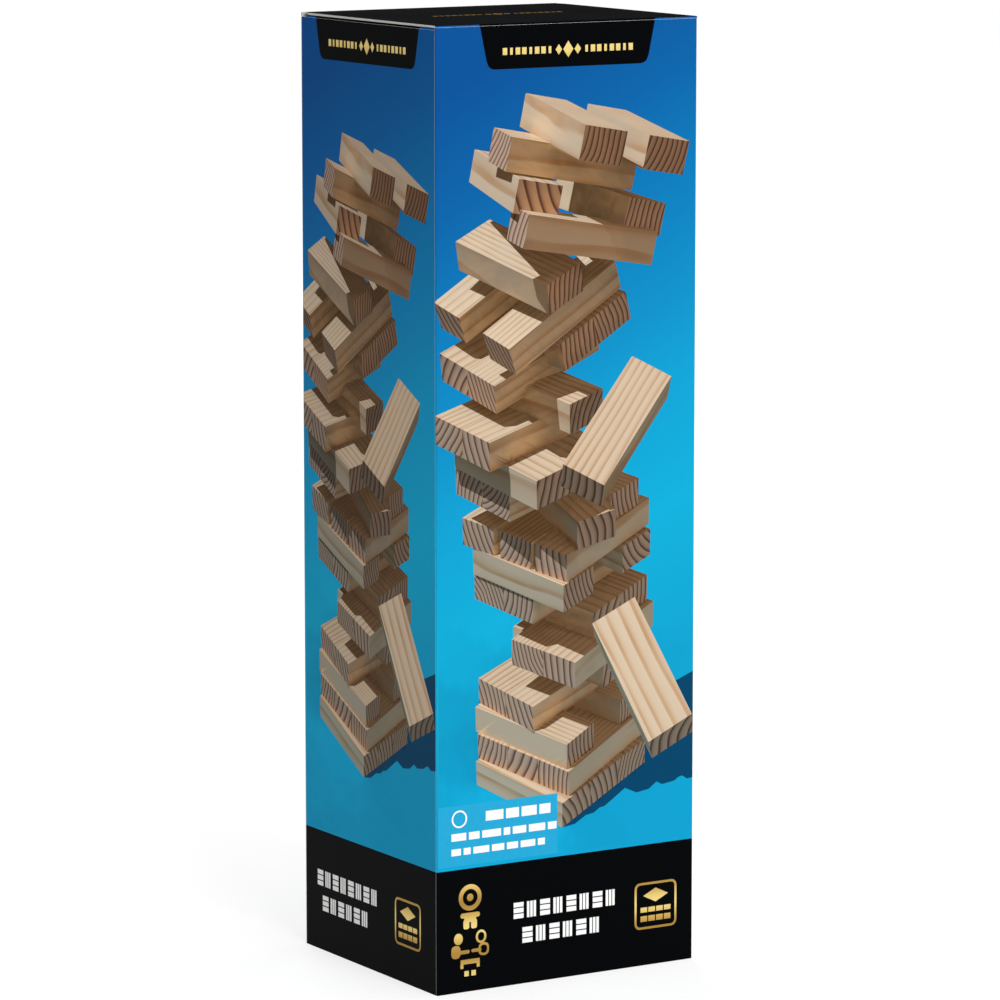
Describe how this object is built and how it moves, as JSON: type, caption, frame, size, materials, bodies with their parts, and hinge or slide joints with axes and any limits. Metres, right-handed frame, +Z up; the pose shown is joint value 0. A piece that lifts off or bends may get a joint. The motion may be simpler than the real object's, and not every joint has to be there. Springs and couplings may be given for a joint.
{
  "type": "boxed tumbling tower game",
  "caption": "Upright printed folding carton with a hinged tuck lid, holding a crossed stack of wooden tumbling-tower blocks and a folded leaflet.",
  "frame": {"origin": "centre of the carton's footprint, on the surface it stands on", "axes": "+Z up, wide front face towards -Y, narrow side face towards -X"},
  "size_m": [0.0886, 0.077, 0.28],
  "materials": {
    "printed_board": "gloss-coated printed folding board",
    "plain_board": "uncoated pale grey inside of the board",
    "pine": "sanded, unfinished pine",
    "leaflet_paper": "matt white paper"
  },
  "bodies": {
    "carton": {"front_panel": "printed_board", "back_panel": "printed_board", "left_panel": "printed_board", "right_panel": "printed_board", "bottom_outer_flap": "printed_board", "bottom_inner_flap": "plain_board", "bottom_dust_flaps": "plain_board"},
    "lid": {"top_lid": "printed_board"},
    "tuck": {"tuck_flap": "plain_board"},
    "left_dust": {"left_dust_flap": "plain_board"},
    "right_dust": {"right_dust_flap": "plain_board"},
    "block_stack": {"block_01_left": "pine", "block_01_middle": "pine", "block_01_right": "pine", "block_02_left": "pine", "block_02_middle": "pine", "block_02_right": "pine", "block_03_left": "pine", "block_03_middle": "pine", "block_03_right": "pine", "block_04_left": "pine", "block_04_middle": "pine", "block_04_right": "pine", "block_05_left": "pine", "block_05_middle": "pine", "block_05_right": "pine", "block_06_left": "pine", "block_06_middle": "pine", "block_06_right": "pine", "block_07_left": "pine", "block_07_middle": "pine", "block_07_right": "pine", "block_08_left": "pine", "block_08_middle": "pine", "block_08_right": "pine", "block_09_left": "pine", "block_09_middle": "pine", "block_09_right": "pine", "block_10_left": "pine", "block_10_middle": "pine", "block_10_right": "pine", "block_11_left": "pine", "block_11_middle": "pine", "block_11_right": "pine", "block_12_left": "pine", "block_12_middle": "pine", "block_12_right": "pine", "block_13_left": "pine", "block_13_middle": "pine", "block_13_right": "pine", "block_14_left": "pine", "block_14_middle": "pine", "block_14_right": "pine", "block_15_left": "pine", "block_15_middle": "pine", "block_15_right": "pine", "block_16_left": "pine", "block_16_middle": "pine", "block_16_right": "pine"},
    "leaflet": {"rules_leaflet": "leaflet_paper"}
  },
  "joints": [
    {"name": "lid_hinge", "type": "hinge", "parent": "carton", "child": "lid", "pos_m": [0, -0.0385, 0.28], "axis": [1, 0, 0], "range_deg": [0, 190]},
    {"name": "tuck_crease", "type": "hinge", "parent": "lid", "child": "tuck", "pos_m": [0, 0.0376, 0.2794], "axis": [1, 0, 0], "range_deg": [0, 47.6]},
    {"name": "left_dust_hinge", "type": "hinge", "parent": "carton", "child": "left_dust", "pos_m": [-0.04425, 0, 0.2793], "axis": [0, -1, 0], "range_deg": [0, 96]},
    {"name": "right_dust_hinge", "type": "hinge", "parent": "carton", "child": "right_dust", "pos_m": [0.04425, 0, 0.2793], "axis": [0, 1, 0], "range_deg": [0, 96]},
    {"name": "stack_lift", "type": "slide", "parent": "carton", "child": "block_stack", "axis": [0, 0, 1], "range_m": [0, 0.005]},
    {"name": "leaflet_lift", "type": "slide", "parent": "carton", "child": "leaflet", "axis": [0, 0, 1], "range_m": [0, 0.14]}
  ],
  "couplings": [
    {"joint": "tuck_crease", "follows": "lid_hinge", "ratio": 0.25},
    {"joint": "left_dust_hinge", "follows": "lid_hinge", "ratio": 0.5},
    {"joint": "right_dust_hinge", "follows": "lid_hinge", "ratio": 0.5}
  ]
}
